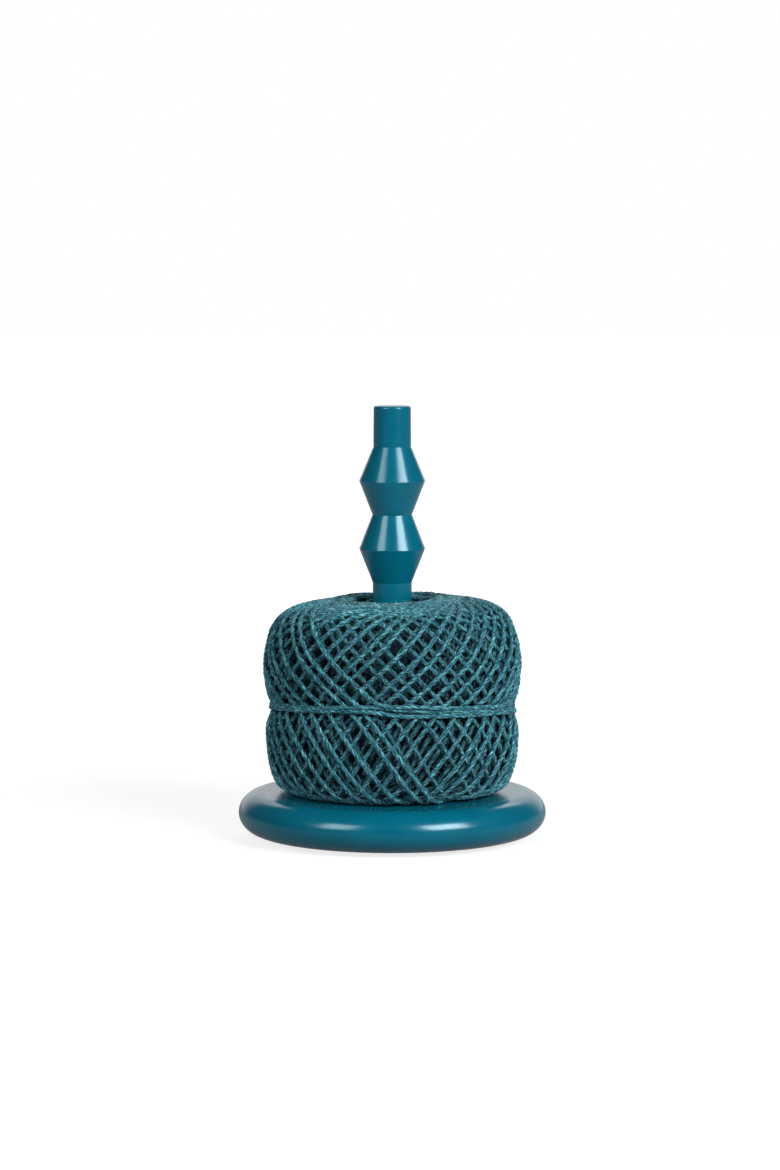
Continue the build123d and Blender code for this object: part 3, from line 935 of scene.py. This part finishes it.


# The hidden layers' material: the jute's dye colour, darkened as painted shade for the depth inside the
# ball
painted_shade_inner_jute = plain_material("painted_shade_inner_jute", (srgb(0, 14, 22), srgb(36, 98, 112)), 900.0, (0.8, 0.95),
                             1600.0, (0.9, 0.6 * MM))
jute_fuzz = plain_material("jute_fuzz", (srgb(44, 118, 134), srgb(150, 206, 214)), 700.0, (0.6, 0.8),
                           2000.0, (0.3, 0.05 * MM), Sheen_Weight=0.3)
lacquer = plain_material("petrol_lacquer", (srgb(0, 88, 109), srgb(0, 94, 116)), 70.0, (0.19, 0.22),
                         260.0, (0.02, 0.4 * MM), IOR=1.40, Specular_Tint=(0.75, 0.96, 1.0, 1.0))
kraft_paper = plain_material("kraft_paper", (srgb(120, 88, 58), srgb(172, 134, 94)), 500.0, (0.75, 0.9),
                             1500.0, (0.5, 0.2 * MM))
zinc_steel = plain_material("zinc_steel", (srgb(150, 152, 154), srgb(196, 197, 198)), 420.0, (0.28, 0.42),
                            1200.0, (0.2, 0.05 * MM), Metallic=1.0)
pressed_felt = plain_material("pressed_felt", (srgb(34, 35, 38), srgb(76, 77, 82)), 1400.0, (0.85, 1.0),
                              1800.0, (0.9, 0.3 * MM), Sheen_Weight=0.2)

# The ball's pieces: the hidden layers, and each pass that shows in parts of a few loops
loops_per_piece = 13
pass_corners = [9, 9, 12]
ball_pieces = [layers_mesh("twine_inner_layers", painted_shade_inner_jute)]
strand_lines = [twine_line(*strand) for strand in strands]
for number in range(shown_passes):
    lines = strand_lines[number * loops_per_pass:(number + 1) * loops_per_pass]
    for part in range(0, len(lines), loops_per_piece):
        name = f"twine_pass_{number + 1}_{part // loops_per_piece + 1}"
        part_lines = lines[part:part + loops_per_piece]
        ball_pieces.append(twine_mesh(name, part_lines, pass_corners[number], jute))


# Loose fibres: short ones that stand off the twine, and ones that lie across the gaps
fibre_radius = 0.065 * MM
fibre_taper = 0.6
fibre_rings = 5
fibre_sides = 3
fibre_strip = 3.2
strand_end_points = 4
swing_turn = 0.6
root_swing = 0.5
bend_size = 0.5
side_bend = 0.6
heading_bend = 0.4
inward_bend = 0.5
fibre_base_gap = 0.3 * MM
least_over_base = 0.02 * MM
least_fall = 0.05


def fibres_mesh(name, roots, directions, bends, lengths, material):
    """Thin bent fibres, each from a root in a direction, tapering to its tip."""
    share = np.linspace(0, 1, fibre_rings)
    count = len(roots)
    line = (roots[:, None, :] + (directions * lengths[:, None])[:, None, :] * share[:, None]
            + (bends * lengths[:, None])[:, None, :] * (share**2)[:, None])
    side = np.cross(directions, bends)
    side /= np.maximum(np.linalg.norm(side, axis=1), 1e-9)[:, None]
    across = np.cross(side, directions)
    across /= np.linalg.norm(across, axis=1)[:, None]
    turns = np.arange(fibre_sides) * 2 * pi / fibre_sides
    spread = (np.cos(turns)[None, :, None] * side[:, None, :]
              + np.sin(turns)[None, :, None] * across[:, None, :])
    width = fibre_radius * (1 - fibre_taper * share)
    places = (line[:, :, None, :] + spread[:, None, :, :] * width[None, :, None, None]).reshape(-1, 3)
    first = (np.arange(count) * fibre_rings * fibre_sides)[:, None, None]
    ring, corner = tube_grid(fibre_rings, fibre_sides)
    quads = tube_quads(first, ring, corner, fibre_sides)
    last = first[:, 0] + (fibre_rings - 1) * fibre_sides
    caps = np.concatenate([first[:, 0] + np.arange(fibre_sides)[::-1], last + np.arange(fibre_sides)])
    strip = (np.arange(count) / count)[:, None, None]
    low, high = strip + corner / fibre_strip / count, strip + (corner + 1) / fibre_strip / count
    near = np.broadcast_to(ring / fibre_rings, low.shape)
    far = np.broadcast_to((ring + 1) / fibre_rings, low.shape)
    bake = quad_map(near, far, low, high)
    maps = {"OFBake": np.vstack([bake, np.zeros((len(caps) * fibre_sides, 2))])}
    return new_mesh(name, places, [quads, caps], material, maps)


def loose_fibres(name, count, lines, length_range, lift_range, root_range):
    """Fibres at chance places on these strands. A high lift stands them off the ball, and they
    are rooted at these shares of the strand's radius. None reaches the base."""
    picks = chance.integers(0, len(lines), count)
    spots = [chance.integers(strand_end_points, len(lines[k][0]) - strand_end_points) for k in picks]
    roots = np.array([lines[k][0][i] for k, i in zip(picks, spots)])
    outward = np.array([lines[k][1][i] for k, i in zip(picks, spots)])
    heading = np.array([lines[k][0][i + 1] - lines[k][0][i - 1] for k, i in zip(picks, spots)])
    heading /= np.linalg.norm(heading, axis=1)[:, None]
    side = np.cross(outward, heading)
    swing = chance.uniform(-1, 1, (count, 1))
    sign = chance.choice([-1.0, 1.0], (count, 1))
    directions = (heading * sign * (1 - swing_turn * np.abs(swing)) + side * swing
                  + outward * chance.uniform(*lift_range, (count, 1)))
    directions /= np.linalg.norm(directions, axis=1)[:, None]
    bends = bend_size * (side * chance.normal(0, side_bend, (count, 1))
                         + heading * chance.normal(0, heading_bend, (count, 1))
                         - outward * chance.uniform(0, inward_bend, (count, 1)))
    roots = (roots + outward * twine_radius * chance.uniform(*root_range, (count, 1))
             + side * swing * root_swing * twine_radius)
    lengths = chance.uniform(*length_range, count)
    over_base = np.maximum(roots[:, 2] - base_top - fibre_base_gap, least_over_base)
    falling = np.maximum(-(directions + np.minimum(bends, 0))[:, 2], least_fall)
    lengths = np.minimum(lengths, over_base / falling)
    return fibres_mesh(name, roots, directions, bends, lengths, jute_fuzz)


ball_pieces.append(loose_fibres("twine_fuzz", 4500, strand_lines[-loops_per_pass:],
                                length_range=(0.7 * MM, 2.4 * MM), lift_range=(0.0, 0.7),
                                root_range=(0.4, 0.95)))
ball_pieces.append(loose_fibres("twine_gap_fibres", 6500, strand_lines[:-loops_per_pass],
                                length_range=(0.8 * MM, 2.6 * MM), lift_range=(0.0, 0.5),
                                root_range=(0.6, 1.0)))
stray_root = np.array([[17.5 * MM, -14.0 * MM, ball_crest + 0.3 * MM]])
stray_direction = np.array([[0.25, 0.0, 0.97]])
stray_bend = np.array([[0.45, 0.0, -0.35]])
stray_length = np.array([4.5 * MM])
ball_pieces.append(fibres_mesh("twine_stray_fibre", stray_root, stray_direction, stray_bend,
                               stray_length, jute_fuzz))

for piece in ball_pieces:
    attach(piece, "twine_ball")
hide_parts("twine_inner_winding", "twine_outer_winding", "twine_waist_wrap")


# Felt discs with rounded rims, in the place of the plain pads: the rim's shares of the radius
# and of the thickness
disc_profile = [(0.55, 0.0), (0.94, 0.0), (0.985, 0.12), (1.0, 0.35), (1.0, 0.65), (0.985, 0.88),
                (0.94, 1.0), (0.55, 1.0)]
disc_corners = 48
disc_map_size = 0.24
disc_map_middle = 0.25
disc_map_top_shift = 0.5


def felt_disc(name, low, high):
    """A disc that fills this box, with a softly rounded rim."""
    middle, radius, thickness = (low + high) / 2, (high.x - low.x) / 2, high.z - low.z
    turns = np.arange(disc_corners) / disc_corners * 2 * pi
    rings = []
    for r, h in disc_profile:
        rings.append(np.column_stack([middle.x + r * radius * np.sin(turns),
                                      middle.y - r * radius * np.cos(turns),
                                      np.full(disc_corners, low.z + h * thickness)]))
    quads = tube_quads(0, *tube_grid(len(rings), disc_corners), disc_corners)
    first = np.arange(disc_corners)[::-1][None, :]
    last = (len(rings) - 1) * disc_corners + np.arange(disc_corners)[None, :]
    places = np.vstack(rings)
    flat = (places[:, :2] - np.array([middle.x, middle.y])) / radius * disc_map_size
    in_top_half = np.repeat(np.arange(len(rings)) >= len(rings) / 2, disc_corners)[:, None]
    spots = flat + disc_map_middle + in_top_half * disc_map_top_shift
    order = np.concatenate([quads.ravel(), first.ravel(), last.ravel()])
    return new_mesh(name, places, [quads, first, last], pressed_felt, {"OFBake": spots[order]})


for number in (1, 2, 3, 4):
    disc = felt_disc(f"felt_disc_{number}", *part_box(f"felt_pad_{number}"))
    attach(disc, "holder")
    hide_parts(f"felt_pad_{number}")

# The pieces that come from the frame as they are
for name, material in (("base_disc", lacquer), ("spindle", lacquer), ("fixing_screw", zinc_steel),
                       ("paper_core", kraft_paper)):
    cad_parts[name].data.materials.clear()
    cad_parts[name].data.materials.append(material)
